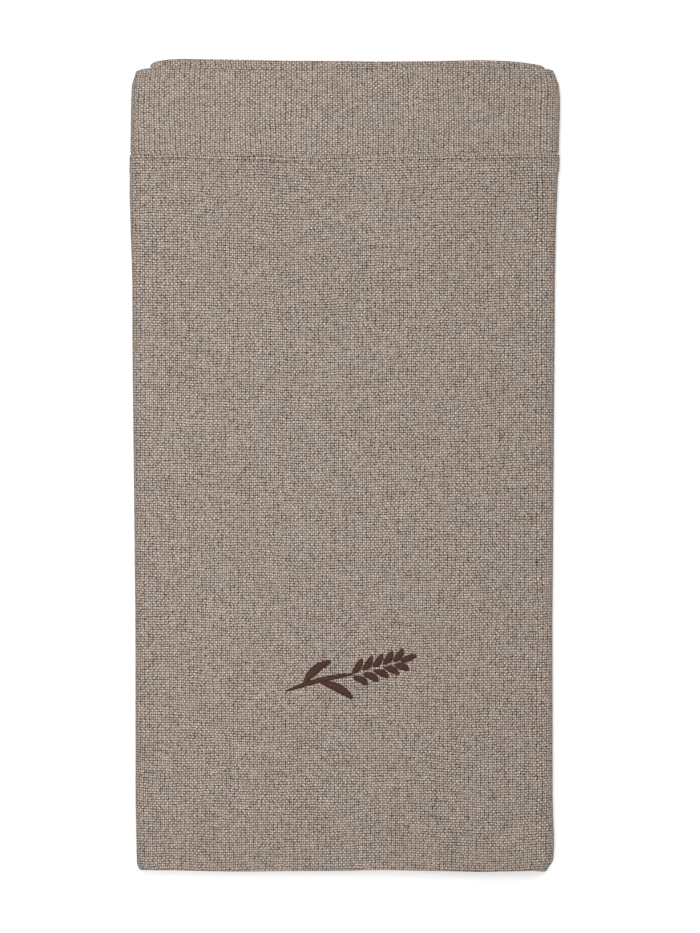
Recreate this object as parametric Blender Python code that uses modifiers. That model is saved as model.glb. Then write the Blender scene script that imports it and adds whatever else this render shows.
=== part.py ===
"""A linen bread bag, folded flat: a body of one length of linen and a casing band on each side of its mouth.

Metres, +Z up. The packet lies on the plane Z = 0 with its face up and the bag's mouth towards +Y. The
origin is the middle of its footprint on that plane.

The bag is flat to begin with, front on back. Both its sides are then folded behind it, so every layer
has the section of a flattened C: a flap on the ground, a round side fold, the face, and the same again.
A layer is drawn as a grid. Its columns are places round that C and its rows are places along the bag,
each with a depth below the packet's outer skin. A Solidify modifier then gives the cloth its thickness.
"""

import math
from collections import namedtuple

import bpy
import numpy as np

MM = 0.001

CLOTH = 1.0 * MM  # thickness of every layer
SEAM_GAP = 0.3 * MM  # between a casing's raw edge and the body's
BOTTOM, SEAM, TOP = -183.0 * MM, 140.0 * MM, 180.0 * MM  # nominal heights of the lines across the bag
FOLD_SHARE = {"left": 1.0, "right": 1.25}  # how far a side fold bulges, as a share of its half height

# Depth of each layer's middle surface below the packet's outermost layer.
BACK_DEPTH = 2.0 * MM  # back of the body, away from the mouth
CASING_PITCH = 1.3 * MM  # from one layer of the casings to the next
DEEPEST = 3 * CASING_PITCH  # back casing's outer layer, which the back of the body meets at the seam
SPREAD_LENGTH = 70.0 * MM  # over which the back of the body sinks to that depth

# The packet's cross sections, in millimetres: place along the bag, reach of its left and right edges from
# the middle line, its height, how much shorter the back's left side fold falls than the front's, and where
# the left and right flaps end, from the middle line.
Section = namedtuple("Section", "along left right height back_short left_flap right_flap")
SECTIONS = (
    Section(-183.0, 93.6, 93.7, 8.0, 0.2, 8.0, 5.0),
    Section(-171.0, 93.8, 94.4, 8.2, 0.3, 7.6, 5.0),
    Section(-150.0, 94.2, 93.7, 8.4, 0.4, 7.0, 5.2),
    Section(-69.0, 94.3, 93.6, 8.6, 0.6, 6.0, 5.6),
    Section(50.0, 95.6, 94.5, 8.8, 1.0, 5.2, 6.4),
    Section(84.0, 95.7, 94.7, 9.2, 2.0, 5.0, 6.6),
    Section(111.0, 96.5, 95.2, 9.9, 4.0, 5.0, 6.8),
    Section(124.0, 96.9, 95.8, 10.3, 5.2, 5.0, 7.0),
    Section(138.0, 96.5, 96.3, 10.6, 6.2, 5.0, 7.2),
    Section(165.0, 96.1, 97.0, 10.6, 7.4, 5.2, 7.4),
    Section(172.5, 95.8, 96.4, 10.5, 7.6, 5.2, 7.4),
    Section(180.0, 94.8, 94.6, 10.4, 7.6, 5.2, 7.4),
)

# The lines that run across the bag, in millimetres: place across, then the place along the bag of the
# bottom fold, the casing seam, the front casing's top fold and the back casing's top fold.
Line = namedtuple("Line", "across bottom seam front_top back_top")
LINES = (
    Line(-97.0, -182.3, 141.1, 179.0, 180.0),
    Line(-87.0, -182.5, 141.0, 179.3, 181.4),
    Line(-81.0, -182.6, 140.9, 179.5, 182.8),
    Line(-74.0, -182.6, 140.8, 179.6, 183.2),
    Line(-47.0, -183.1, 139.8, 179.6, 183.2),
    Line(-28.0, -182.9, 139.6, 179.5, 182.8),
    Line(0.0, -182.7, 139.7, 179.4, 182.3),
    Line(16.0, -182.3, 139.8, 179.4, 182.1),
    Line(43.0, -182.9, 140.1, 179.5, 182.4),
    Line(61.0, -183.3, 140.4, 179.8, 182.6),
    Line(79.0, -183.0, 140.7, 179.9, 181.6),
    Line(90.0, -182.7, 140.9, 179.5, 180.2),
    Line(97.0, -182.6, 141.1, 179.1, 179.4),
)

# Corners of the packet's outline: the radius at each end of each side.
CORNER = {("left", "bottom"): 3.0 * MM, ("right", "bottom"): 5.5 * MM,
          ("left", "top"): 3.5 * MM, ("right", "top"): 3.5 * MM}
CORNER_BLEND = 20.0 * MM  # how far in from the side the cloth gives way to a rounded corner

# Grid of each layer.
FLAP_STEPS = 4
ARC_STEPS = 6
HALF_FACE_STEPS = 6
TURN_STEPS = 4  # round a fold between two layers
EDGE_ROWS = (0.0, 1.5 * MM, 4.0 * MM, 9.0 * MM)  # rows near the bottom corners, above the fold
BODY_STEPS = 9  # the rest of the rows, up to the seam
CASING_STEPS = 4

LINEN = {"colour": (0.33, 0.275, 0.23, 1.0), "roughness": 0.9, "metallic": 0.0}


def clear_scene():
    """Removes whatever the scene held."""
    for thing in list(bpy.data.objects):
        bpy.data.objects.remove(thing, do_unlink=True)


def read(table, key, name, at):
    """One named column of a table at the places `at`, in metres, by straight lines between its rows."""
    places = [getattr(row, key) * MM for row in table]
    values = [getattr(row, name) * MM for row in table]
    return np.interp(at, places, values)


def ease(t):
    """0 below 0, 1 above 1, and a smooth rise between them."""
    t = np.clip(t, 0.0, 1.0)
    return t * t * (3.0 - 2.0 * t)


def fold_stations():
    """The columns of a layer, as arrays: side (-1 or 1), run and turn.

    run goes from 0 at the inner end of a flat stretch to 1 where its side fold starts. turn is the angle
    round the side fold, from -90 degrees on the ground to 90 degrees on the face.
    """
    quarter = math.pi / 2
    flap = [(run, -quarter) for run in np.linspace(0.0, 1.0, FLAP_STEPS + 1)]
    arc = [(1.0, turn) for turn in np.linspace(-quarter, quarter, ARC_STEPS + 1)[1:]]
    face = [(run, quarter) for run in np.linspace(1.0, 0.0, HALF_FACE_STEPS + 1)[1:]]
    half = flap + arc + face
    left = [(-1.0, run, turn) for run, turn in half]
    right = [(1.0, run, turn) for run, turn in reversed(half[:-1])]
    return np.array(left + right).T


def corner_inset(side, along, bottom, top):
    """How far a rounded corner pulls the packet's side in, at each place along it."""
    inset = np.zeros_like(along)
    for end, from_end in (("bottom", along - bottom), ("top", top - along)):
        radius = CORNER[(side, end)]
        short = np.clip(radius - from_end, 0.0, radius)
        inset = inset + radius - np.sqrt(radius**2 - short**2)
    return inset


def place(along, depth, is_back, top_line):
    """Points of a layer's middle surface, as an array of rows by columns by 3.

    along and depth are columns of numbers, one for each row of the grid. along is 0 on the bottom fold
    line, 1 on the casing seam and 2 on the top fold line, plus a distance from that line.
    """
    side, run, turn = (a[None, :] for a in fold_stations())
    line, offset = along
    line = line[:, None]
    depth = depth[:, None]

    # The lines across are read where the layer lies, so the flaps' ends follow them as well.
    nominal = np.interp(line, [0.0, 1.0, 2.0], [BOTTOM, SEAM, TOP]) + offset[:, None]
    x = lay_across(side, run, turn, nominal, depth, is_back)[0]
    heights = [read(LINES, "across", name, x) for name in ("bottom", "seam", top_line)]
    lower = heights[0] + (heights[1] - heights[0]) * np.clip(line, 0.0, 1.0)
    y = lower + (heights[2] - heights[1]) * np.clip(line - 1.0, 0.0, 1.0) + offset[:, None]

    x, z = lay_across(side, run, turn, y, depth, is_back)
    for name, sign in (("left", -1.0), ("right", 1.0)):
        reach = read(SECTIONS, "along", name, y)
        blend = ease((sign * x - reach + CORNER_BLEND) / CORNER_BLEND)
        x = x - sign * corner_inset(name, y, heights[0], heights[2]) * blend
    return np.stack([x, y, z], axis=2)


def lay_across(side, run, turn, y, depth, is_back):
    """x and z of the C-shaped section at each y: the end of the flat stretch plus the round of the fold."""
    radius = (read(SECTIONS, "along", "height", y) - CLOTH) / 2
    on_left = side < 0
    reach = np.where(on_left, read(SECTIONS, "along", "left", y), read(SECTIONS, "along", "right", y))
    bulge = np.where(on_left, FOLD_SHARE["left"], FOLD_SHARE["right"])
    short = np.where(on_left & is_back, read(SECTIONS, "along", "back_short", y), 0.0)
    start = reach - CLOTH / 2 - radius * bulge - short
    flap = np.where(on_left, read(SECTIONS, "along", "left_flap", y), read(SECTIONS, "along", "right_flap", y))
    inner = np.where(turn < 0, flap, 0.0)
    x = side * (inner + run * (start - inner) + (radius - depth) * bulge * np.cos(turn))
    z = CLOTH / 2 + radius + (radius - depth) * np.sin(turn)
    return x, z


def turn_round(count):
    """Angles round a half turn between two layers, without its two ends."""
    return np.linspace(-math.pi / 2, math.pi / 2, count + 1)[1:-1]


def grid_faces(rows, columns, first=0):
    """Quads of a rows by columns grid of vertices."""
    corner = first + np.arange(rows - 1)[:, None] * columns + np.arange(columns - 1)[None, :]
    quads = np.stack([corner, corner + 1, corner + columns + 1, corner + columns], axis=2)
    return quads.reshape(-1, 4)


def linen_material():
    """One plain linen material of its own for each piece that asks for it."""
    material = bpy.data.materials.new("linen")
    material.use_nodes = True
    shader = material.node_tree.nodes["Principled BSDF"]
    shader.inputs["Base Color"].default_value = LINEN["colour"]
    shader.inputs["Roughness"].default_value = LINEN["roughness"]
    shader.inputs["Metallic"].default_value = LINEN["metallic"]
    return material


def make_cloth(name, points, faces, collection):
    """A cloth object from its middle surface. Solidify gives it its thickness, half on each side."""
    mesh = bpy.data.meshes.new(name)
    mesh.from_pydata([tuple(p) for p in points.tolist()], [], [tuple(f) for f in faces.tolist()])
    mesh.materials.append(linen_material())
    mesh.shade_smooth()
    cloth = bpy.data.objects.new(name, mesh)
    collection.objects.link(cloth)
    solid = cloth.modifiers.new("cloth thickness", "SOLIDIFY")
    solid.thickness = CLOTH
    solid.offset = 0.0
    solid.use_even_offset = True
    return cloth


def back_depth(along):
    """Depth of the back of the body: even, then sinking to meet the back casing at the seam."""
    line, offset = along
    from_seam = (1.0 - line) * (SEAM - BOTTOM) - offset
    return DEEPEST + (BACK_DEPTH - DEEPEST) * ease(from_seam / SPREAD_LENGTH)


def make_body(collection):
    """The pocket: front, back, and a rounded fold that joins them down both sides and along the bottom."""
    fold_radius = BACK_DEPTH / 2
    fold_line = CLOTH / 2 + fold_radius
    edge = [(0.0, fold_line + row) for row in EDGE_ROWS]
    rest = [(line, 0.0) for line in np.linspace(0.06, 1.0, BODY_STEPS)]
    rest[-1] = (1.0, -SEAM_GAP / 2)
    along = np.array(edge + rest).T
    depth = back_depth(along)

    front = place(along, np.zeros_like(depth), False, "front_top")
    back = place(along, depth, True, "front_top")
    rows, columns = front.shape[:2]
    points = [front.reshape(-1, 3), back.reshape(-1, 3)]
    faces = [grid_faces(rows, columns), grid_faces(rows, columns, rows * columns)[:, ::-1]]

    # The way round the pocket's edge: down the left side, along the bottom and up the right side.
    row = np.concatenate([np.arange(rows - 1, -1, -1), np.zeros(columns - 2, int), np.arange(rows)])
    column = np.concatenate([np.zeros(rows, int), np.arange(1, columns - 1), np.full(rows, columns - 1)])
    near = front[row, column]
    far = back[row, column]
    outward = np.zeros_like(near)
    outward[column == 0, 0] = 1.0
    outward[column == columns - 1, 0] = -1.0
    outward[row == 0, 1] = -1.0
    outward /= np.linalg.norm(outward, axis=1)[:, None]
    reach = np.linalg.norm(far - near, axis=1)[:, None] / 2

    ring = [row * columns + column]
    for angle in turn_round(TURN_STEPS):
        bend = (near + far) / 2 + (far - near) / 2 * math.sin(angle) + outward * reach * math.cos(angle)
        ring.append(sum(len(p) for p in points) + np.arange(len(bend)))
        points.append(bend)
    ring.append(rows * columns + row * columns + column)
    for upper, lower in zip(ring[:-1], ring[1:]):
        faces.append(np.stack([upper[:-1], lower[:-1], lower[1:], upper[1:]], axis=1))
    return make_cloth("bag_body", np.concatenate(points), np.concatenate(faces), collection)


def make_casing(name, depths, is_back, top_line, collection):
    """A band folded double: up from the seam, round its top fold and down to the seam again."""
    outer, inner = depths
    radius = abs(inner - outer) / 2
    fold_line = -(CLOTH / 2 + radius)
    rise = [(1.0 + share, 0.0) for share in np.linspace(0.0, 0.85, CASING_STEPS)] + [(2.0, fold_line)]
    rise[0] = (1.0, SEAM_GAP / 2)
    angles = turn_round(TURN_STEPS)
    turn = [(2.0, fold_line + radius * math.cos(angle)) for angle in angles]
    along = np.array(rise + turn + rise[::-1]).T
    middle = (outer + inner) / 2
    bend = [middle + (inner - outer) / 2 * math.sin(angle) for angle in angles]
    depth = np.array([outer] * len(rise) + bend + [inner] * len(rise))
    points = place(along, depth, is_back, top_line)
    faces = grid_faces(*points.shape[:2])
    return make_cloth(name, points.reshape(-1, 3), faces, collection)


def main():
    clear_scene()
    collection = bpy.data.collections.new("linen_bread_bag")
    bpy.context.scene.collection.children.link(collection)
    make_body(collection)
    make_casing("front_casing", (0.0, CASING_PITCH), False, "front_top", collection)
    make_casing("back_casing", (DEEPEST, 2 * CASING_PITCH), True, "back_top", collection)


main()
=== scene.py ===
# %% [markdown]
# # A linen bread bag, folded flat
#
# This lesson builds a bread bag of natural linen as it lies on a shelf: the empty bag is laid flat, both
# its sides are folded behind it, and what shows is a long, thin packet. The bag has three cut pieces. The
# body is one length of linen, folded at the bottom and seamed at the sides. A band of the same linen is
# folded double and sewn to each side of the mouth, as the casing for a cord.
#
# Cloth like this could be drawn as a block with a picture of linen on it, or dropped on a table by a
# simulation. A block has no folds at its edges. A simulation loses the sharp, pressed folds that make the
# packet. So each layer here is a formula: a flat cloth goes in, with its place across and along the bag,
# and its place in the folded packet comes out. Threads are laid through the same formula, so every
# stitch follows the folds.

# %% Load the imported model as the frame, and keep its box
import math
from collections import namedtuple

import bmesh
import bpy
import numpy as np
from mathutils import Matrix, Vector


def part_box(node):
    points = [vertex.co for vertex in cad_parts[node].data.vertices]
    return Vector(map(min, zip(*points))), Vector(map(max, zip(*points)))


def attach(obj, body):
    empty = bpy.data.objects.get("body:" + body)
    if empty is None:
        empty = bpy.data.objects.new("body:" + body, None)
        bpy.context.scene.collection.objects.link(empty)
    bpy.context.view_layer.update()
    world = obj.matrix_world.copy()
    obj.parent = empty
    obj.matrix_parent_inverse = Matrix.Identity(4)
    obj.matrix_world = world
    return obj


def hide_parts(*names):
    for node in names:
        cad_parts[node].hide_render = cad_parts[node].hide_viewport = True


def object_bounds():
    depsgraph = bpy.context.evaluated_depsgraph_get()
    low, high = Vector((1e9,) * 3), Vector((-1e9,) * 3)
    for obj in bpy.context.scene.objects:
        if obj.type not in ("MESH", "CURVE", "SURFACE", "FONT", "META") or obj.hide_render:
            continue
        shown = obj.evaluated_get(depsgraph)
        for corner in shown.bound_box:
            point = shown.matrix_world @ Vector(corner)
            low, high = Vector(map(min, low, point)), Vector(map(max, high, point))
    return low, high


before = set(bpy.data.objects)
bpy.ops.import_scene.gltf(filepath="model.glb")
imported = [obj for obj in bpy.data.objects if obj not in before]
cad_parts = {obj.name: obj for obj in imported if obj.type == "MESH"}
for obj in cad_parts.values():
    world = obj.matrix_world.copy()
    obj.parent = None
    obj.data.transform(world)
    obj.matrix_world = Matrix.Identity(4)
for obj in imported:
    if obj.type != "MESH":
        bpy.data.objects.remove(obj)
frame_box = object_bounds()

print("frame holds", sorted(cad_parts))

# %% [markdown]
# ## The packet's own sizes
#
# A folded cloth is never quite straight. Its edges wander by a millimetre or two, its height follows the
# number of layers, and one layer peeps out behind another. Random noise would look busy and would not
# look like this bag. Instead two short tables say how far the real edges lie inside the frame's box, one
# row for each place where something changes, and straight lines between the rows are rounded off.

# %% Sizes of the cloth and of the box that it fills
MM = 0.001
CLOTH = 0.55 * MM  # thickness of the linen
(_, BOTTOM, _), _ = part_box("bag_body")
(_, SEAM, _), (_, FRONT_TOP, _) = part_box("front_casing")
_, (_, BACK_TOP, _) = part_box("back_casing")
HALF_WIDTH = frame_box[1].x
HEIGHT = frame_box[1].z
print(f"packet {2 * HALF_WIDTH:.3f} m wide, {BACK_TOP - BOTTOM:.3f} m long, {HEIGHT:.4f} m high")

# %% How the packet's sides, height and flaps vary along it, in millimetres
# left_in and right_in: how far the edge lies inside the box. low: how far the face lies below its top.
# back_short: how far the back's left fold stops short of the front's. left_flap and right_flap: where
# the flaps end, from the middle line.
Section = namedtuple("Section", "along left_in right_in low back_short left_flap right_flap")
SECTIONS = (
    Section(-183.0, 3.4, 3.3, 2.6, 0.2, 8.0, 5.0),
    Section(-171.0, 3.2, 2.6, 2.4, 0.3, 7.6, 5.0),
    Section(-150.0, 2.8, 3.3, 2.2, 0.4, 7.0, 5.2),
    Section(-69.0, 2.7, 3.4, 2.0, 0.6, 6.0, 5.6),
    Section(50.0, 1.4, 2.5, 1.8, 1.0, 5.2, 6.4),
    Section(84.0, 1.3, 2.3, 1.4, 1.4, 5.0, 6.6),
    Section(111.0, 0.5, 1.8, 0.7, 2.6, 5.0, 6.8),
    Section(124.0, 0.1, 1.2, 0.3, 3.2, 5.0, 7.0),
    Section(138.0, 0.5, 0.7, 0.0, 3.6, 5.0, 7.2),
    Section(165.0, 0.9, 0.0, 0.0, 4.1, 5.2, 7.4),
    Section(172.5, 1.2, 0.6, 0.1, 4.2, 5.2, 7.4),
    Section(180.0, 2.2, 2.4, 0.2, 4.2, 5.2, 7.4),
)

# %% How the lines across the bag vary from side to side, in millimetres
# bottom_in, front_in and back_in: how far each fold lies inside the box. seam_up: how far the casing seam
# lies above the casing's lower edge in the frame, or below it where the number is negative.
Line = namedtuple("Line", "across bottom_in seam_up front_in back_in")
LINES = (
    Line(-97.0, 1.9, 0.6, 1.9, 3.2),
    Line(-87.0, 1.7, 0.4, 1.6, 2.0),
    Line(-82.0, 1.6, 0.4, 1.7, 0.8),
    Line(-74.0, 1.6, 0.3, 1.8, 0.3),
    Line(-50.0, 1.1, -0.3, 2.3, 0.6),
    Line(-28.0, 1.3, -0.9, 2.6, 1.1),
    Line(0.0, 1.5, -0.9, 2.3, 1.3),
    Line(16.0, 1.9, -0.7, 1.9, 1.5),
    Line(43.0, 1.3, -0.1, 1.4, 1.3),
    Line(61.0, 0.9, 0.1, 1.5, 0.9),
    Line(76.0, 1.2, 0.3, 1.5, 1.5),
    Line(86.0, 1.4, 0.5, 1.5, 2.8),
    Line(97.0, 1.6, 0.8, 1.6, 4.3),
)


def read(table, name, at, rounding=3.0 * MM):
    """A table's column at the places `at`: straight lines between its rows, averaged over a short way
    either side of each place so that no corner is left."""
    places = np.array([row[0] for row in table]) * MM
    values = np.array([getattr(row, name) for row in table]) * MM
    shifts = np.linspace(-rounding, rounding, 5)
    return np.mean([np.interp(at + shift, places, values) for shift in shifts], axis=0)


print(f"{len(SECTIONS)} sections along the packet, {len(LINES)} places across it")

# %% [markdown]
# ## The light and the camera
#
# The bag is looked at from straight above, on a white surface, in an even white light from all round. A
# single lamp near one side throws a wide, dark shadow on the other, so two soft lamps share the work
# instead. One hangs over the bag's left side and shines down in a narrow cone, so the cloth grows a little
# darker to the right. The other stands far beyond the mouth, and leaves a short soft shadow at the near
# edge and none at the far one, which is how the eye reads a thing only a centimetre thick. A long lens
# keeps both sides in view at the same slant.

# %% The camera, straight above the packet
SENSOR = 36.0 * MM
LENS = 85.0 * MM
VIEW_HEIGHT = 419.85 * MM  # what the frame takes in along Y, at half the packet's height
AIM = Vector((2.4 * MM, -0.2 * MM, HEIGHT / 2))

camera_data = bpy.data.cameras.new("camera")
camera_data.sensor_width = SENSOR / MM
camera_data.lens = LENS / MM
camera = bpy.data.objects.new("camera", camera_data)
camera.location = AIM + Vector((0.0, 0.0, VIEW_HEIGHT * LENS / SENSOR))
bpy.context.scene.collection.objects.link(camera)
bpy.context.scene.camera = camera
print(f"camera {camera.location.z:.3f} m above the surface")

# %% The floor, the lamp and the light all round
ROOM_LIGHT = 0.50  # strength of the white light from all round
FLOOR_REACH = 3.0
FLOOR_LEVEL = -0.2 * MM


def lamp(name, place, aim, size, watts, spread=180.0):
    """A rectangular lamp, its width and length in size, that isn't seen itself. spread is in degrees."""
    data = bpy.data.lights.new(name, "AREA")
    data.shape = "RECTANGLE"
    data.size, data.size_y = size
    data.energy = watts
    data.spread = math.radians(spread)
    thing = bpy.data.objects.new(name, data)
    thing.location = place
    thing.rotation_euler = (Vector(aim) - Vector(place)).to_track_quat("-Z", "Y").to_euler()
    thing.visible_camera = False
    bpy.context.scene.collection.objects.link(thing)
    return thing


lamp("top lamp", place=(-0.14, 0.03, 1.3), aim=(-0.14, 0.03, 0.0), size=(0.4, 1.0), watts=2.4, spread=60.0)
lamp("far lamp", place=(0.9, 2.2, 3.2), aim=AIM, size=(1.5, 1.5), watts=50.0)
world = bpy.data.worlds.new("studio")
world.use_nodes = True
world.node_tree.nodes["Background"].inputs["Color"].default_value = (1.0, 1.0, 1.0, 1.0)
world.node_tree.nodes["Background"].inputs["Strength"].default_value = ROOM_LIGHT
bpy.context.scene.world = world
bpy.context.scene.view_settings.view_transform = "Standard"

floor_mesh = bpy.data.meshes.new("floor")
floor_mesh.from_pydata(
    [(x * FLOOR_REACH, y * FLOOR_REACH, FLOOR_LEVEL) for x, y in ((-1, -1), (1, -1), (1, 1), (-1, 1))],
    [], [(0, 1, 2, 3)])
floor = bpy.data.objects.new("floor", floor_mesh)
bpy.context.scene.collection.objects.link(floor)
print("two lamps, a white world and a floor")

# %% [markdown]
# ## Writing a shader as sums
#
# A weave is arithmetic: which yarn is on top is a matter of odd and even, and how high it stands is a
# sine. Dozens of Math nodes wired by hand hide that. The small class below wraps a socket, so that
# `1 - mask` or `a * b + c` in Python adds the nodes and links them.

# %% A socket that can be added, multiplied and compared, and the desk that holds the nodes
class Wire:
    """One output socket. Each operator with a number or another wire adds a Math node."""

    def __init__(self, desk, socket):
        self.desk = desk
        self.socket = socket

    def __add__(self, other):
        return self.desk.maths("ADD", self, other)

    __radd__ = __add__

    def __sub__(self, other):
        return self.desk.maths("SUBTRACT", self, other)

    def __rsub__(self, other):
        return self.desk.maths("SUBTRACT", other, self)

    def __mul__(self, other):
        return self.desk.maths("MULTIPLY", self, other)

    __rmul__ = __mul__

    def __truediv__(self, other):
        return self.desk.maths("DIVIDE", self, other)

    def __rtruediv__(self, other):
        return self.desk.maths("DIVIDE", other, self)

    def __lt__(self, other):
        return self.desk.maths("LESS_THAN", self, other)

    def __gt__(self, other):
        return self.desk.maths("GREATER_THAN", self, other)


class Desk:
    """A new material and the nodes that are put on it."""

    def __init__(self, name):
        self.material = bpy.data.materials.new(name)
        self.material.use_nodes = True
        self.tree = self.material.node_tree
        self.shader = self.tree.nodes["Principled BSDF"]

    def node(self, kind, settings=None, sockets=None, output=0):
        """A node of this kind: its settings first, then a value or a wire for each named socket."""
        made = self.tree.nodes.new(kind)
        for name, value in (settings or {}).items():
            setattr(made, name, value)
        for name, value in (sockets or {}).items():
            self.plug(made.inputs[name], value)
        return Wire(self, made.outputs[output])

    def plug(self, socket, value):
        """A wire is linked, and anything else is set as the socket's own value."""
        if isinstance(value, Wire):
            self.tree.links.new(value.socket, socket)
        else:
            socket.default_value = value

    def maths(self, operation, *values):
        return self.node("ShaderNodeMath", {"operation": operation}, dict(enumerate(values)))

    def sine(self, turns):
        """The sine of a number of half turns."""
        return self.maths("SINE", turns * math.pi)

    def larger(self, a, b):
        return self.maths("MAXIMUM", a, b)

    def rise(self, value, low, high):
        """0 below low, 1 above high, and a smooth rise between."""
        sockets = {"Value": value, "From Min": low, "From Max": high}
        return self.node("ShaderNodeMapRange", {"interpolation_type": "SMOOTHSTEP"}, sockets)

    def between(self, amount, low, high):
        """low where amount is 0 and high where it is 1."""
        return amount * (high - low) + low

    def point(self, x, y, z=0.0):
        return self.node("ShaderNodeCombineXYZ", None, {"X": x, "Y": y, "Z": z})

    def noise(self, point, scale, detail=1.0):
        """Smooth noise round one half."""
        settings = {"noise_dimensions": "3D"}
        return self.node("ShaderNodeTexNoise", settings, {"Vector": point, "Scale": scale, "Detail": detail})

    def chance(self, point):
        """A number from 0 to 1, another one for each point."""
        return self.node("ShaderNodeTexWhiteNoise", {"noise_dimensions": "3D"}, {"Vector": point})

    def mix(self, amount, first, second, blend="MIX"):
        """Two colours mixed, or one laid on the other by another blend.

        A Mix node has sockets for every kind of data, so its colour sockets are told by their numbers.
        """
        made = self.tree.nodes.new("ShaderNodeMix")
        made.data_type = "RGBA"
        made.blend_type = blend
        self.plug(made.inputs[0], amount)
        self.plug(made.inputs[6], first)
        self.plug(made.inputs[7], second)
        return Wire(self, made.outputs[2])

    def grey(self, value):
        """A number as a grey colour."""
        return self.node("ShaderNodeCombineColor", None, {"Red": value, "Green": value, "Blue": value})

    def own_map(self, name):
        """The two coordinates of the piece's own UV map."""
        place = self.node("ShaderNodeUVMap", {"uv_map": name})
        split = self.tree.nodes.new("ShaderNodeSeparateXYZ")
        self.plug(split.inputs[0], place)
        return Wire(self, split.outputs[0]), Wire(self, split.outputs[1])

    def finish(self, colour, height, lift, **values):
        """Colour and height into the shader, and its plain values on its own sockets."""
        bump = self.node("ShaderNodeBump", None, {"Strength": 1.0, "Distance": lift, "Height": height})
        self.plug(self.shader.inputs["Base Color"], colour)
        self.plug(self.shader.inputs["Normal"], bump)
        for name, value in values.items():
            self.shader.inputs[name.replace("_", " ")].default_value = value
        print(f"{self.material.name}: {len(self.tree.nodes)} nodes")
        return self.material


print("shader desk ready")

# %% [markdown]
# ## Linen
#
# Linen is a plain weave: each yarn goes over one and under the next. Flax yarns are uneven, with thick
# slubs and thin places, so the yarns have their own widths and shades, and small gaps open between them,
# which are painted dark as shade. An image of linen would repeat. Here every yarn has a number, and the
# number gives it its own noise along its length. The cloth's own map is in metres of cloth, so the yarns
# follow every fold, and the casing shows the same linen turned by a quarter, as it is cut on the other grain.

# %% The linen's yarns, counted in the cloth
SLIM_PITCH = 0.905 * MM  # from one yarn to the next, in the direction where they lie closer
WIDE_PITCH = 1.134 * MM
WARM = (0.251, 0.200, 0.167, 1.0)
COOL = (0.237, 0.199, 0.169, 1.0)

STITCH_PITCH = 3.7 * MM
STITCH_LENGTH = 2.9 * MM
STITCH_DROP = 2.5 * MM  # from the casing seam down to the row of topstitching
NEEDLE_ROW = 0.3 * MM  # half width of the row of needle holes
NEEDLE_HOLE = 0.14  # half length of a hole, as a share of the stitch pitch

# Where the yarns run. A scale is how many swings of noise there are in a metre of cloth.
SWAY_SCALE, SWAY = 22.0, 2.6  # long bends, and how many pitches they move a yarn by
SHAKE_SCALE, SHAKE = 260.0, 0.7  # short ones

# How thick and how high they are. Half widths are shares of the pitch. A height of 1 is how far a yarn's
# round top stands above its edges.
THIN, THICK = 0.42, 0.62
HOLE_GAP = 0.18  # most that a yarn draws in beside a random hole
PAIR_GAP = 0.10  # how much it draws in on one side, so that yarns lie in pairs
CRIMP = 0.8  # how far a yarn rises where it goes over, and sinks where it goes under
GROUND = 1.5  # how deep the gaps between the yarns are
# Painted shade: below the first of these heights the weave is painted dark, as the gaps' shade, it is painted
# lighter over the second, and never darker than the third.
SHADOW_HEIGHT, LIT_RANGE, DARKEST = 0.35, 1.3, 0.03  # where light starts, what it rises over, the least light
BUMP = 0.15 * MM

# How light they are.
TONE, BRIGHTNESS = 1.18, 1.42
# Painted shade: yarns that run along the bag catch less of the lamps' light than the yarns across it, so they
# are painted darker by the number below.
UP_PAINTED_SHADE = 0.36  # yarns that run along the map's second direction are this much darker
YARN_SHADE, CROSSING_SHADE = 0.4, 0.35  # how far yarns differ, and one crossing from the next
FIBRE_SCALE, FIBRE_SHADE = 1500.0, 1.6
CLOUD_SCALE, CLOUD_SHADE = 60.0, 0.08
HUE_SCALE = 90.0
print(f"{10 * MM / SLIM_PITCH:.1f} by {10 * MM / WIDE_PITCH:.1f} yarns per centimetre")

# %% A woven shader
def yarn_set(desk, across, along, seed):
    """One direction of yarns. across counts yarns and along runs with them, both in yarn pitches.

    A yarn's number is the whole part of across. What is left is the place over its width. Noise that
    jumps from number to number and runs smoothly along gives its thickness and its shade.
    """
    number = desk.maths("FLOOR", across)
    over = across - number - 0.5
    slub = desk.noise(desk.point(number * 3.37 + seed, along * 0.11), 1.0, 3.0)
    shade = desk.noise(desk.point(number * 5.71 + seed, along * 0.03, 9.0), 1.0, 3.0)
    return number, over, slub, shade


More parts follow.
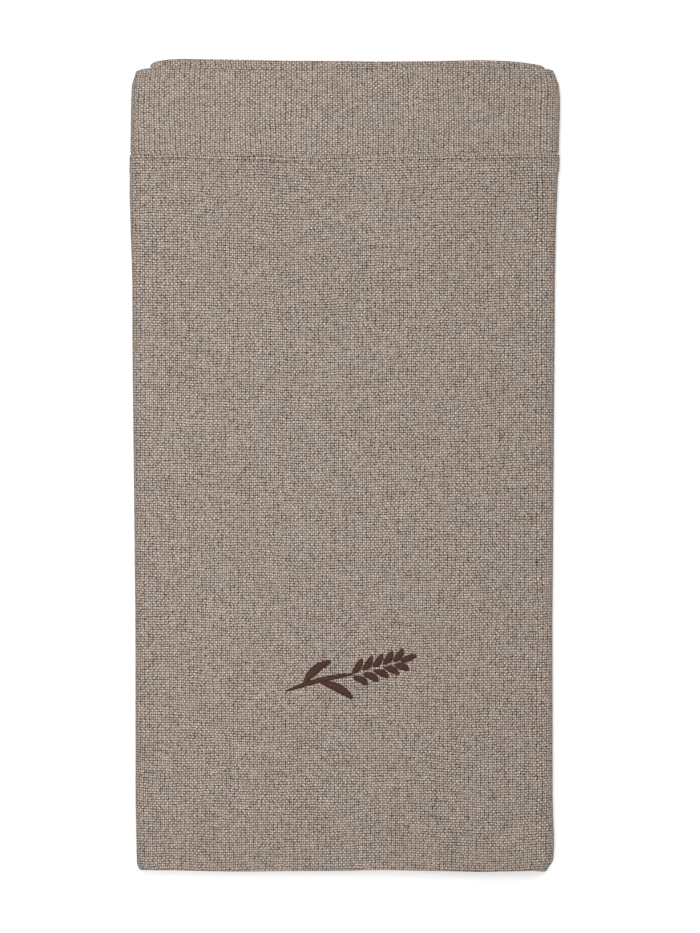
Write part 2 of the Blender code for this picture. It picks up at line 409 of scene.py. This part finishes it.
def linen(name, pitch_across, pitch_along, openness, needle_hole_shade):
    """A woven linen. openness says how wide the gaps between the yarns are.

    The last argument is how dark the painted shade in the needle's holes is, in the row just below the casing
    seam.
    """
    desk = Desk(name)
    u, v = desk.own_map("cloth")
    place = desk.point(u, v)
    sway = desk.noise(place, SWAY_SCALE, 2.0) - 0.5
    sway_too = desk.noise(desk.point(v, u, 0.37), SWAY_SCALE, 2.0) - 0.5
    shake = desk.noise(place, SHAKE_SCALE) - 0.5
    shake_too = desk.noise(desk.point(v, u, 0.71), SHAKE_SCALE) - 0.5
    a = u / pitch_across + sway * SWAY + shake * SHAKE
    b = v / pitch_along + sway_too * SWAY + shake_too * SHAKE

    i, x, slub_up, shade_up = yarn_set(desk, a, b, 0.5)
    j, y, slub_over, shade_over = yarn_set(desk, b, a, 40.5)
    hole = desk.chance(desk.point(desk.maths("FLOOR", a + 0.5), desk.maths("FLOOR", b + 0.5), 7.0))
    pair = desk.maths("FLOORED_MODULO", desk.maths("FLOOR", a + 0.5), 2.0)
    gap = hole * hole * HOLE_GAP + pair * PAIR_GAP + openness
    half_up = desk.between(slub_up, THIN, THICK) - gap
    half_over = desk.between(slub_over, THIN, THICK) - gap
    odd = desk.maths("FLOORED_MODULO", i + j, 2.0) * 2.0 - 1.0

    def height(over, half, wave):
        """Round across the yarn, lifted where it passes over, and far down outside it."""
        ratio = over / half
        round_top = desk.maths("SQRT", desk.larger(1.0 - ratio * ratio, 0.0))
        inside = desk.maths("ABSOLUTE", ratio) < 1.0
        return (round_top + wave + GROUND) * inside - GROUND

    high_up = height(x, half_up, odd * desk.maths("ABSOLUTE", desk.sine(b)) * CRIMP)
    high_over = height(y, half_over, odd * desk.maths("ABSOLUTE", desk.sine(a)) * -CRIMP)
    top = desk.larger(high_up, high_over)
    is_up = high_up > high_over
    shade = shade_over + is_up * (shade_up - shade_over)
    crossing = desk.chance(desk.point(i, j))

    in_row = desk.maths("ABSOLUTE", v + STITCH_DROP) < NEEDLE_ROW
    step = u / STITCH_PITCH
    in_gap = desk.maths("ABSOLUTE", step - desk.maths("ROUND", step)) < NEEDLE_HOLE
    # Painted shade in the needle's holes: the row of topstitching is darkened where the thread dives into the
    # cloth.
    needle = 1.0 - in_row * in_gap * needle_hole_shade

    # Painted shade: the lower the weave lies, the darker it is painted, most in the gaps between the yarns.
    depth = desk.larger((top - SHADOW_HEIGHT) / LIT_RANGE, DARKEST)
    fibre = desk.noise(place, FIBRE_SCALE, 2.0) - 0.5
    cloud = desk.noise(place, CLOUD_SCALE, 3.0) - 0.5
    # tone is the yarns' own tone that differs at random, less the painted shade on the yarns that run along
    # the bag.
    tone = TONE - is_up * UP_PAINTED_SHADE + (shade - 0.5) * YARN_SHADE + (crossing - 0.5) * CROSSING_SHADE
    light = depth * tone * (1.0 + fibre * FIBRE_SHADE + cloud * CLOUD_SHADE) * BRIGHTNESS * needle
    hue = desk.rise(desk.noise(desk.point(u, v, 2.0), HUE_SCALE, 3.0), 0.35, 0.65)
    cloth = desk.mix(hue, COOL, WARM)
    colour = desk.mix(1.0, cloth, desk.grey(light), "MULTIPLY")
    fixed = {"Roughness": 0.92, "Specular_IOR_Level": 0.1, "Sheen_Weight": 0.05, "Sheen_Roughness": 0.5}
    return desk.finish(colour, top * 0.5 + fibre * 0.3, BUMP, **fixed)


# The casing is cut on the other grain, lies a little closer, and has no needle holes.
body_linen = linen("body linen", SLIM_PITCH, WIDE_PITCH, openness=0.0, needle_hole_shade=0.7)
casing_linen = linen("casing linen", WIDE_PITCH, SLIM_PITCH, openness=-0.02, needle_hole_shade=0.0)

# %% Thread, for the topstitching and the embroidery
TWISTS = 2600.0  # stripes of twist, in half turns for each metre of thread
THREAD_BUMP = 0.04 * MM


def thread(name, dark, light, roughness):
    """A twisted thread: its tone differs at random, and fine stripes of painted shade, where the twist's
    grooves lie, run over it at a slant.
    """
    desk = Desk(name)
    u, v = desk.own_map("thread")
    twist = desk.sine(u * TWISTS + v * 3.0) * 0.5 + 0.5
    tone = desk.noise(desk.point(u * 300.0, v), 1.0, 2.0)
    # The colour mixes tone that differs at random with painted shade in the grooves of the twist.
    colour = desk.mix(desk.rise(tone * 0.7 + twist * 0.3, 0.2, 0.8), dark, light)
    return desk.finish(colour, twist, THREAD_BUMP, Roughness=roughness, Specular_IOR_Level=0.25)


linen_thread = thread("linen thread", (0.17, 0.14, 0.115, 1.0), (0.30, 0.25, 0.21, 1.0), 0.8)
brown_thread = thread("brown thread", (0.030, 0.011, 0.008, 1.0), (0.072, 0.026, 0.018, 1.0), 0.5)

# %% The surface that the bag lies on
floor_desk = Desk("white floor")
OBJECT_OUTPUT = 3  # the Texture Coordinate node's Object output
grain = floor_desk.noise(floor_desk.node("ShaderNodeTexCoord", output=OBJECT_OUTPUT), 3.0)
floor_colour = floor_desk.grey(floor_desk.between(grain, 0.80, 0.82))
floor_mesh.materials.append(floor_desk.finish(floor_colour, grain, 0.01 * MM, Roughness=0.8))

# %% [markdown]
# ## The fold
#
# Seen from the bag's mouth, every layer has the same section: the face on top, a round fold at each side,
# and a flap under it that runs back to the middle. Given a distance across the cloth from its middle
# line, the formula walks that far along the section. A layer that lies deeper in the packet walks the
# same way on a smaller round. Distances are kept, so the weave is never stretched over a fold.

# %% From a place on the flat cloth to its place in the packet
FOLD_SHARE = (1.3, 2.0)  # how far the left and right folds bulge, as a share of their half height
# Radius of the outline at each corner, by its side and its end.
CORNERS = {(-1, "bottom"): 3.0 * MM, (1, "bottom"): 5.5 * MM, (-1, "top"): 3.5 * MM, (1, "top"): 3.5 * MM}
BACK_CORNER = 0.4  # the back casing's corners have this share of that radius
CORNER_BLEND = 20.0 * MM  # how far in from the side the cloth gives way to a rounded corner


def section(along, side, is_back):
    """Half height of the side fold, its share sideways, where the face ends and where the flap ends."""
    left = side < 0
    radius = (HEIGHT - read(SECTIONS, "low", along) - CLOTH) / 2
    reach = HALF_WIDTH - np.where(left, read(SECTIONS, "left_in", along), read(SECTIONS, "right_in", along))
    share = np.where(left, *FOLD_SHARE)
    short = np.where(left & is_back, read(SECTIONS, "back_short", along), 0.0)
    flap = np.where(left, read(SECTIONS, "left_flap", along), read(SECTIONS, "right_flap", along))
    return radius, share, reach - CLOTH / 2 - radius * share - short, flap


def lay_across(across, along, depth, is_back):
    """x and z of a place `across` the cloth from its middle line, `depth` below the packet's skin.

    Flat as far as the side fold starts, then round a half ellipse, then flat again back to the middle.
    """
    side = np.where(across < 0, -1.0, 1.0)
    radius, share, start, _ = section(along, side, is_back)
    bend = radius - depth
    arc = math.pi * bend * (1.0 + share) / 2
    past = np.abs(across) - start
    turn = math.pi / 2 - math.pi * np.clip(past / arc, 0.0, 1.0)
    flat = np.minimum(np.abs(across), start) - np.maximum(past - arc, 0.0)
    return side * (flat + bend * share * np.cos(turn)), CLOTH / 2 + radius + bend * np.sin(turn)


def ease(t):
    """0 below 0, 1 above 1, and a smooth rise between them."""
    t = np.clip(t, 0.0, 1.0)
    return t * t * (3.0 - 2.0 * t)


def round_corners(x, y, bottom, top, is_back):
    """Pulls the sides in near the packet's ends by what a quarter circle takes off a square corner."""
    for side, name in ((-1, "left_in"), (1, "right_in")):
        reach = HALF_WIDTH - read(SECTIONS, name, y)
        blend = ease((side * x - reach) / CORNER_BLEND + 1.0)
        for end, from_end in (("bottom", y - bottom), ("top", top - y)):
            radius = CORNERS[(side, end)] * (BACK_CORNER if is_back and end == "top" else 1.0)
            missing = np.clip(radius - from_end, 0.0, radius)
            x = x - side * (radius - np.sqrt(radius**2 - missing**2)) * blend
    return x


print("fold formula ready")

# %% [markdown]
# ### Creases
#
# Pressed linen is flat but not dead flat. The main creases are listed one by one, each one a long soft
# trough or ridge a tenth of a millimetre or two deep, and slow waves lie between them. The height is
# added to all the layers together, and fades to nothing on the ground.

# %% The creases and the slow waves of the face
Crease = namedtuple("Crease", "across along length width height degrees")  # millimetres and degrees
CREASES = (
    Crease(38.0, 157.0, 60.0, 3.5, -0.16, 1.5),
    Crease(-52.0, 164.0, 40.0, 5.0, 0.12, -4.0),
    Crease(70.0, 168.0, 26.0, 4.0, 0.14, 14.0),
    Crease(-84.0, 176.0, 9.0, 3.5, 0.22, 40.0),
    Crease(2.0, 118.0, 46.0, 7.0, -0.16, 3.0),
    Crease(-62.0, 116.0, 30.0, 8.0, -0.12, -6.0),
    Crease(88.0, 120.0, 34.0, 4.5, 0.14, 84.0),
    Crease(-88.0, 60.0, 60.0, 5.0, 0.10, 92.0),
    Crease(60.0, 20.0, 70.0, 9.0, -0.12, 80.0),
    Crease(-20.0, -40.0, 80.0, 10.0, 0.12, 97.0),
    Crease(86.0, -120.0, 50.0, 5.0, 0.12, 86.0),
    Crease(-10.0, -170.0, 80.0, 5.0, -0.12, 1.0),
    Crease(78.0, -172.0, 18.0, 4.0, 0.16, -38.0),
)
WAVES = 9
WAVE_HEIGHT = 0.05 * MM
WAVE_REACH = 22.0 * MM  # a usual wave is about six times this long
WAVE_SEED = 11


def face_relief(x, y):
    """Each crease is a bell across its line that fades along it. Each wave is a sine over the face."""
    height = np.zeros_like(x)
    for crease in CREASES:
        angle = math.radians(crease.degrees)
        dx = x - crease.across * MM
        dy = y - crease.along * MM
        along = (dx * math.cos(angle) + dy * math.sin(angle)) / (crease.length * MM)
        across = (dy * math.cos(angle) - dx * math.sin(angle)) / (crease.width * MM)
        height = height + crease.height * MM * np.exp(-(along**2) - across**2)
    chance = np.random.default_rng(WAVE_SEED)
    for _ in range(WAVES):
        kx, ky = chance.normal(0.0, 1.0, 2) / WAVE_REACH
        height = height + WAVE_HEIGHT * np.sin(kx * x + ky * y + chance.uniform(0.0, 2 * math.pi))
    return height


def place(line, offset, across, depth, is_back=False, top="front"):
    """Points of the packet for places on the cloth.

    line is 0 on the bottom fold, 1 on the casing seam and 2 on the top fold, plus an offset in metres.
    """
    nominal = np.interp(line, [0.0, 1.0, 2.0], [BOTTOM, SEAM, FRONT_TOP]) + offset
    x, _ = lay_across(across, nominal, depth, is_back)
    bottom = BOTTOM + read(LINES, "bottom_in", x)
    seam = SEAM + read(LINES, "seam_up", x)
    fold = FRONT_TOP - read(LINES, "front_in", x) if top == "front" else BACK_TOP - read(LINES, "back_in", x)
    y = bottom + (seam - bottom) * np.clip(line, 0.0, 1.0) + (fold - seam) * np.clip(line - 1.0, 0.0, 1.0)
    y = y + offset
    x, z = lay_across(across, y, depth, is_back)
    z = z + face_relief(x, y) * ease(z / HEIGHT)
    return np.stack([round_corners(x, y, bottom, fold, is_back), y, z], axis=-1)


print(f"{len(CREASES)} creases and {WAVES} waves")

# %% [markdown]
# ## From grids to cloth
#
# Every piece of cloth here is one or more grids of points whose edges meet. A grid is easy to compute as
# a whole array. The grids are put into one mesh with their own cloth map, their common edges are welded,
# and a Solidify modifier gives the linen its thickness.

# %% Meshes from grids
def grid_mesh(name, grids, map_name, material):
    """One welded mesh from (points, map) pairs, each rows by columns by 3 and rows by columns by 2."""
    corners, faces, maps, first = [], [], [], 0
    for points, cloth_map in grids:
        rows, columns = points.shape[:2]
        corner = np.arange(rows - 1)[:, None] * columns + np.arange(columns - 1)
        quads = np.stack([corner, corner + 1, corner + columns + 1, corner + columns], axis=-1).reshape(-1, 4)
        corners.append(points.reshape(-1, 3))
        faces.append(quads + first)
        maps.append(cloth_map.reshape(-1, 2)[quads.reshape(-1)])
        first += rows * columns
    mesh = bpy.data.meshes.new(name)
    mesh.from_pydata(np.concatenate(corners).tolist(), [], np.concatenate(faces).tolist())
    layer = mesh.uv_layers.new(name=map_name)
    layer.data.foreach_set("uv", np.concatenate(maps).astype(np.float32).reshape(-1))
    welded = bmesh.new()
    welded.from_mesh(mesh)
    bmesh.ops.remove_doubles(welded, verts=welded.verts, dist=0.002 * MM)
    welded.to_mesh(mesh)
    welded.free()
    mesh.shade_smooth()
    mesh.materials.append(material)
    thing = bpy.data.objects.new(name, mesh)
    bpy.context.scene.collection.objects.link(thing)
    print(f"{name}: {len(mesh.polygons)} faces")
    return thing


def give_thickness(thing):
    """Half of the cloth's thickness on each side of its middle surface."""
    solid = thing.modifiers.new("thickness", "SOLIDIFY")
    solid.thickness = CLOTH
    solid.offset = 0.0
    solid.use_even_offset = True


# %% The columns of every cloth grid
FLAP_STEPS = 22
ARC_STEPS = 16
HALF_FACE_STEPS = 34


def columns_across(along, depth, is_back):
    """Distances across the cloth for each row's columns: evenly over each flap, fold and half face."""
    parts = []
    for side in (-1.0, 1.0):
        side_of = np.full_like(along, side)
        radius, share, start, flap = section(along, side_of, is_back)
        arc = math.pi * (radius - depth) * (1.0 + share) / 2
        face = np.linspace(0.0, 1.0, HALF_FACE_STEPS + 1) * start[:, None]
        fold = start[:, None] + np.linspace(0.0, 1.0, ARC_STEPS + 1)[1:] * arc[:, None]
        under = (start + arc)[:, None] + np.linspace(0.0, 1.0, FLAP_STEPS + 1)[1:] * (start - flap)[:, None]
        parts.append(np.concatenate([face, fold, under], axis=1) * side)
    return np.concatenate([parts[0][:, :0:-1], parts[1]], axis=1)


def cloth_grid(line, offset, depth, length, is_back=False, top="front"):
    """A layer's points and its cloth map. line, offset, depth and length have one number for each row."""
    nominal = np.interp(line, [0.0, 1.0, 2.0], [BOTTOM, SEAM, FRONT_TOP]) + offset
    across = columns_across(nominal, depth, is_back)
    points = place(line[:, None], offset[:, None], across, depth[:, None], is_back, top)
    return points, np.stack([across, np.broadcast_to(length[:, None], across.shape)], axis=-1)


print("columns across:", 2 * (FLAP_STEPS + ARC_STEPS + HALF_FACE_STEPS) + 1)

# %% [markdown]
# ## The body of the bag
#
# The body is a pocket. Its front and back are the same cloth, which turns over at the bottom, and each
# side is closed by a seam that ends up at the edge of a flap. The front rolls under at the casing seam
# and stands a little proud just below it, where the seam's allowance is pressed flat behind it.

# %% The rows of the front and of the back
FACE_GAP = 2.0 * MM  # depth of the back below the front
CASING_PITCH = 1.25 * MM  # from one layer of the casings to the next
DEEPEST = 3 * CASING_PITCH
SPREAD_LENGTH = 70.0 * MM  # over which the back sinks to meet the back casing
BODY_LENGTH = SEAM - BOTTOM
BODY_ROWS = 112
TURN_STEPS = 8
TURN_RADIUS = FACE_GAP / 2
ROLL_DEPTH, ROLL_REACH = 0.42 * MM, 0.45 * MM  # how the cloth rolls in at the casing seam
RIDGE = 0.22 * MM  # how far it stands proud over the seam's allowance
ALLOWANCE = 7.0 * MM
RIDGE_START, RIDGE_END = 1.2 * MM, 3.0 * MM  # lengths over which the ridge rises and falls
CLOSE_ROWS = (0.0, 0.2, 0.45, 0.8, 1.3, 2.0)  # rows close to the seam, in millimetres from it


def roll_in(from_seam):
    """A bell: deepest on the seam, and gone within a millimetre of it."""
    return ROLL_DEPTH * np.exp(-((from_seam / ROLL_REACH) ** 2))


def body_front_depth(below_seam):
    """Rolls in at the seam, then stands proud over the allowance, then lies level."""
    ridge = RIDGE * ease(below_seam / RIDGE_START) * (1.0 - ease((below_seam - ALLOWANCE) / RIDGE_END))
    return roll_in(below_seam) - ridge


def body_back_depth(below_seam):
    """Even, then sinking to meet the back casing."""
    return DEEPEST + (FACE_GAP - DEEPEST) * ease(below_seam / SPREAD_LENGTH)


near_seam = np.array([*CLOSE_ROWS, 3.2, 4.6, 6.0, 7.0, 8.0, 9.0, 10.2]) * MM
near_fold = CLOTH / 2 + TURN_RADIUS + np.array([5.5, 4.2, 3.0, 2.0, 1.2, 0.5, 0.0]) * MM
middle = np.linspace(near_seam[-1], BODY_LENGTH - near_fold[0], BODY_ROWS)[1:-1]
below_seam = np.concatenate([near_seam, middle, BODY_LENGTH - near_fold])[::-1]
row_line = 1.0 - below_seam / BODY_LENGTH
row_offset = np.zeros_like(row_line)
front_grid = cloth_grid(row_line, row_offset, body_front_depth(below_seam), -below_seam)
back_grid = cloth_grid(row_line, row_offset, body_back_depth(below_seam), below_seam - 2 * BODY_LENGTH, True)
print(f"body grid {front_grid[0].shape[0]} by {front_grid[0].shape[1]}")

# %% The turn that joins them down the sides and along the bottom, and the whole body
SEAM_NOTCH = 0.45  # how deep the side seams bite into the turned edge, as a share of its reach
NOTCH_ANGLE = 0.35  # half the notch's width round that edge, in radians


def pocket_edge(front, back):
    """Half turns from the front's edge to the back's, down one side, along the bottom and up the other.

    Between the two edges the points go round a half circle. A bell-shaped notch at its middle is the
    side seam, and fades out along the bottom, which is only folded.
    """
    (near_points, near_map), (far_points, _) = front, back
    rows, columns = near_points.shape[:2]
    row = np.concatenate([np.arange(rows - 1, -1, -1), np.zeros(columns - 2, int), np.arange(rows)])
    column = np.concatenate([np.zeros(rows, int), np.arange(1, columns - 1), np.full(rows, columns - 1)])
    near, far = near_points[row, column], far_points[row, column]
    outward = np.zeros_like(near)
    outward[column == 0, 0] = 1.0
    outward[column == columns - 1, 0] = -1.0
    outward[row == 0, 1] = -1.0
    outward /= np.linalg.norm(outward, axis=1)[:, None]
    is_side = np.isin(column, (0, columns - 1)) & (row > 0)
    angle = np.linspace(-math.pi / 2, math.pi / 2, TURN_STEPS + 1)[:, None, None]
    reach = (np.linalg.norm(far - near, axis=1) / 2)[None, :, None]
    notch = 1.0 - SEAM_NOTCH * is_side[None, :, None] * np.exp(-((angle / NOTCH_ANGLE) ** 2))
    points = (near + far) / 2 + (far - near) / 2 * np.sin(angle) + outward * reach * notch * np.cos(angle)
    points[0], points[-1] = near, far
    walk = (angle + math.pi / 2)[..., 0] * reach[..., 0]
    sideways = np.where(column == 0, -1.0, 1.0) * (column % (columns - 1) == 0)
    cloth_map = np.stack([near_map[row, column, 0] + walk * sideways,
                          near_map[row, column, 1] - walk * (row == 0)], axis=-1)
    return points, cloth_map


def turned_over(grid):
    """The same grid with its faces the other way out."""
    return grid[0][:, ::-1], grid[1][:, ::-1]


edge_grid = pocket_edge(front_grid, back_grid)
body_grids = [front_grid, turned_over(back_grid), turned_over(edge_grid)]
body = grid_mesh("linen_body", body_grids, "cloth", body_linen)
give_thickness(body)

# %% [markdown]
# ## The casings
#
# Each casing is a band folded double, with its fold at the mouth of the bag and its ends open for a cord.
# The front one covers most of the back one, which peeps out a few millimetres above it and starts a
# little way in from the left. The layers lie so close that the fold is drawn as a small half turn.

# %% A band folded double
CASING_ROWS = 17
CASING_FIRST, CASING_LAST = 3.5, 33.0  # the even rows, in millimetres above the seam


def casing(name, outer, inner, is_back, top):
    """Up from the seam on the outer layer, a half turn at the top fold, and down on the inner one."""
    radius = abs(inner - outer) / 2
    rise = np.concatenate([CLOSE_ROWS, np.linspace(CASING_FIRST, CASING_LAST, CASING_ROWS)]) * MM
    band = (FRONT_TOP if top == "front" else BACK_TOP) - SEAM
    share = rise / band
    angle = np.linspace(-math.pi / 2, math.pi / 2, TURN_STEPS + 1)
    fold = -(CLOTH / 2 + radius)
    line = 1.0 + np.concatenate([share, np.ones(len(angle)), share[::-1]])
    offset = np.concatenate([np.zeros(len(rise)), fold + radius * np.cos(angle), np.zeros(len(rise))])
    roll = roll_in(rise) * (0 if is_back else 1)
    middle = (outer + inner) / 2
    turn = middle + (inner - outer) / 2 * np.sin(angle)
    depth = np.concatenate([outer + roll, turn, np.full(len(rise), inner)])
    walk = band + fold + radius * (angle + math.pi / 2)
    length = np.concatenate([rise, walk, walk[-1] + (band + fold) - rise[::-1]])
    made = grid_mesh(name, [cloth_grid(line, offset, depth, length, is_back, top)], "cloth", casing_linen)
    give_thickness(made)
    return made


front_casing = casing("linen_front_casing", 0.0, CASING_PITCH, False, "front")
back_casing = casing("linen_back_casing", DEEPEST, 2 * CASING_PITCH, True, "back")

# %% [markdown]
# ## Thread
#
# A row of topstitching holds the seam's allowance down. Below it, where such a bag is usually
# embroidered, it has a plain ear of wheat in satin stitch: stem, leaves and grains are filled with threads
# that lie side by side across it. A thread is a bent tube, so the fill catches the light as real satin
# stitch does. A flat shape with a striped colour would not stand above the cloth.

# %% Tubes from one place on the face to another
THREAD_STEPS = 8
THREAD_SIDES = 6
THREAD_SHIFT = 7.3  # moves each thread's stripes on from those of the one before


def threads(name, starts, ends, radius, arch, rise, sink, material):
    """Each thread runs straight over the face from its start to its end, in metres across and along.

    It lies `rise` above the cloth, bows up by `arch` at its middle and dives by `sink` at both ends.
    """
    t = np.linspace(0.0, 1.0, THREAD_STEPS)[None, :, None]
    path = starts[:, None] + (ends - starts)[:, None] * t
    bow = 4.0 * t[..., 0] * (1.0 - t[..., 0])
    lift = rise + arch * bow - sink * (1.0 - bow) ** 3
    line = (path[..., 1] - BOTTOM) / (SEAM - BOTTOM)
    middle = place(line, 0.0, path[..., 0], -(CLOTH / 2 + lift))
    turn = np.linspace(0.0, 2 * math.pi, THREAD_SIDES + 1)
    along = (ends - starts) / np.linalg.norm(ends - starts, axis=1)[:, None]
    sideways = np.stack([-along[:, 1], along[:, 0], np.zeros(len(along))], axis=-1)[:, None, None]
    up = np.array([0.0, 0.0, 1.0])
    ring = np.cos(turn)[:, None] * sideways + np.sin(turn)[:, None] * up
    points = middle[:, :, None] + radius * ring
    length = np.linalg.norm(ends - starts, axis=1)[:, None, None]
    shift = np.arange(len(starts))[:, None, None] * THREAD_SHIFT
    u = np.broadcast_to(t * length, points.shape[:3])
    v = np.broadcast_to(shift + turn / math.pi, points.shape[:3])
    grids = [(points[k], np.stack([u[k], v[k]], axis=-1)) for k in range(len(starts))]
    return grid_mesh(name, grids, "thread", material)


# %% The topstitching
HALF_ROW = 25  # stitches on each side of the middle line
stitch_at = np.arange(-HALF_ROW, HALF_ROW) * STITCH_PITCH + STITCH_PITCH / 2
seam_at = SEAM + read(LINES, "seam_up", stitch_at)
bottom_at = BOTTOM + read(LINES, "bottom_in", stitch_at)
row_at = BOTTOM + (seam_at - STITCH_DROP - bottom_at) / (seam_at - bottom_at) * (SEAM - BOTTOM)
half_stitch = np.stack([np.full(len(stitch_at), STITCH_LENGTH / 2), np.zeros(len(stitch_at))], axis=-1)
stitch_middles = np.stack([stitch_at, row_at], axis=-1)
topstitching = threads("topstitching", stitch_middles - half_stitch, stitch_middles + half_stitch,
                       radius=0.16 * MM, arch=0.08 * MM, rise=0.25 * MM, sink=0.35 * MM,
                       material=linen_thread)

# %% The ear of wheat
SATIN_PITCH = 0.34 * MM
MOTIF = np.array([2.4, -95.0])  # its middle, in millimetres like the places below
EAR_FOOT = np.array([0.5, 0.2])
EAR_STEP = np.array([4.6, 1.35])
EAR_PAIRS = 5
TAPER = 0.3  # how much nearer the stem each pair of grains ends than the one before it
RAGGED = 0.15  # how far a stitch may miss the edge of its leaf
STITCH_SEED = 5
chance = np.random.default_rng(STITCH_SEED)
satin = []


def leaf(start, end, width, bend=0.0):
    """Satin stitches across a pointed leaf from start to end, bent sideways by bend at its middle."""
    start, end = np.array(start), np.array(end)
    length = np.linalg.norm(end - start)
    along = (end - start) / length
    across = np.array([-along[1], along[0]])
    t = np.linspace(0.04, 0.96, int(length * MM / SATIN_PITCH))[:, None]
    spine = start + (end - start) * t + across * bend * 4.0 * t * (1.0 - t)
    half = width / 2 * np.sin(math.pi * t) ** 0.6 + chance.uniform(-RAGGED, RAGGED, t.shape)
    slant = along * 0.35 * half
    satin.append(np.stack([spine - across * half - slant, spine + across * half + slant]))


leaf((-29.5, -7.0), (2.5, 0.8), 2.4, 1.2)  # the stem
leaf((-21.5, -4.4), (-8.0, 6.8), 4.0, 1.8)
leaf((-14.0, -2.6), (1.5, -10.8), 4.0, 1.6)
for pair in range(EAR_PAIRS):
    root = EAR_FOOT + EAR_STEP * pair
    leaf(root + (0.3, 0.9), root + (5.0, 7.6 - TAPER * pair), 3.4, -0.7)
    leaf(root + (0.9, -0.6), root + (7.6, -4.8 + TAPER * pair), 3.4, 0.7)
ear_end = EAR_FOOT + EAR_STEP * EAR_PAIRS
leaf(ear_end - (1.0, 0.3), ear_end + (6.6, 2.0), 3.2)
satin_starts, satin_ends = (np.concatenate([part[k] for part in satin]) + MOTIF for k in (0, 1))
embroidery = threads("embroidery", satin_starts * MM, satin_ends * MM,
                     radius=0.19 * MM, arch=0.30 * MM, rise=0.12 * MM, sink=0.30 * MM,
                     material=brown_thread)
print(len(satin_starts), "satin stitches")

for piece, node, slot in ((body, "bag_body", "body_linen"), (front_casing, "front_casing", "casing_linen"),
                          (back_casing, "back_casing", "casing_linen")):
    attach(piece, "root")
    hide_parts(node)
for piece, slot in ((topstitching, "body_linen"), (embroidery, "embroidery_thread")):
    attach(piece, "root")


# %% [markdown]
# ## The frame's box
#
# The last cell prints the frame's own box.

# %% Print the frame's box
print("frame", [tuple(round(n, 4) for n in corner) for corner in frame_box])
